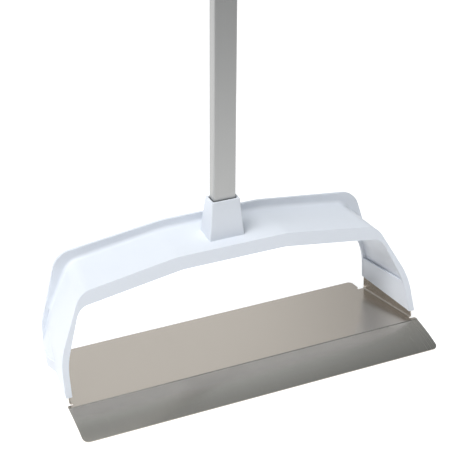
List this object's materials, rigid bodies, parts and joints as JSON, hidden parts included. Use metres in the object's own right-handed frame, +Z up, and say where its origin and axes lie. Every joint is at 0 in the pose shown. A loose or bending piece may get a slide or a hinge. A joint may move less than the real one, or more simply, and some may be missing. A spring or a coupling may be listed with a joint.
{
  "type": "stand-up dustpan",
  "caption": "Stand-up dustpan: bent stainless tray held in a white moulded arch that is open front to rear, on an upright rectangular aluminium pole with a grip and a hanging hole.",
  "frame": {"origin": "centre of the tool's footprint on the floor, at floor level", "axes": "+X to the right seen from the sweeping lip, +Y from the lip towards the rear, +Z up along the pole"},
  "size_m": [0.32, 0.1268, 0.8368],
  "materials": {
    "stainless": "brushed",
    "white_plastic": "satin",
    "pole_aluminium": "satin anodised",
    "grip_plastic": "satin",
    "plug_plastic": "matt",
    "screw_steel": "plain"
  },
  "bodies": {
    "pan": {"tray": "stainless", "arch_frame": "white_plastic", "flange_clamp_right": "white_plastic", "flange_clamp_left": "white_plastic"},
    "pole": {"pole_tube": "pole_aluminium", "pole_foot_plug": "plug_plastic", "grip_sleeve": "grip_plastic", "grip_end_cap": "grip_plastic", "grip_screw": "screw_steel"}
  },
  "joints": [
    {"name": "pole_pull_out", "type": "slide", "parent": "pan", "child": "pole", "axis": [0, 0, 1], "range_m": [0, 0.041]}
  ]
}
